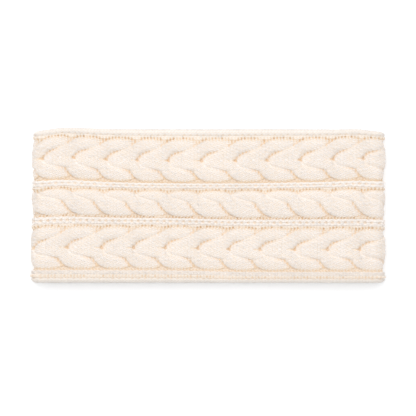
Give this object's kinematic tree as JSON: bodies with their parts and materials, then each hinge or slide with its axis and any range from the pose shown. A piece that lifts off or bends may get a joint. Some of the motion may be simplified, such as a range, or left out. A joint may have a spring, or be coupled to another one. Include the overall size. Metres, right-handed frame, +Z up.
{
  "type": "ear warmer headband",
  "caption": "Cable-knit ear warmer headband lying flat: a soft knitted loop with raised horseshoe and rope cables, stitch ribs and rolled edges.",
  "frame": {"origin": "under the middle of the band, on the surface that it lies on", "axes": "+X along the flat length to the right fold, +Y across the band to its top edge, +Z up out of the upper layer"},
  "size_m": [0.2357, 0.102, 0.0192],
  "materials": {
    "ground_knit": "matte purl-side knit in warm cream yarn",
    "cable_knit": "soft matte stocking-stitch knit in cream yarn",
    "rib_knit": "soft matte chain stitches in cream yarn",
    "edge_knit": "matte rolled selvedge in cream yarn",
    "seam_yarn": "plain linked seam in cream yarn"
  },
  "bodies": {
    "root": {"ground_band": "ground_knit", "upper_cable": "cable_knit", "upper_rib": "rib_knit", "centre_cable": "cable_knit", "lower_rib": "rib_knit", "lower_cable": "cable_knit", "hem_rib": "rib_knit", "top_edge": "edge_knit", "bottom_edge": "edge_knit", "back_seam": "seam_yarn"}
  },
  "joints": []
}
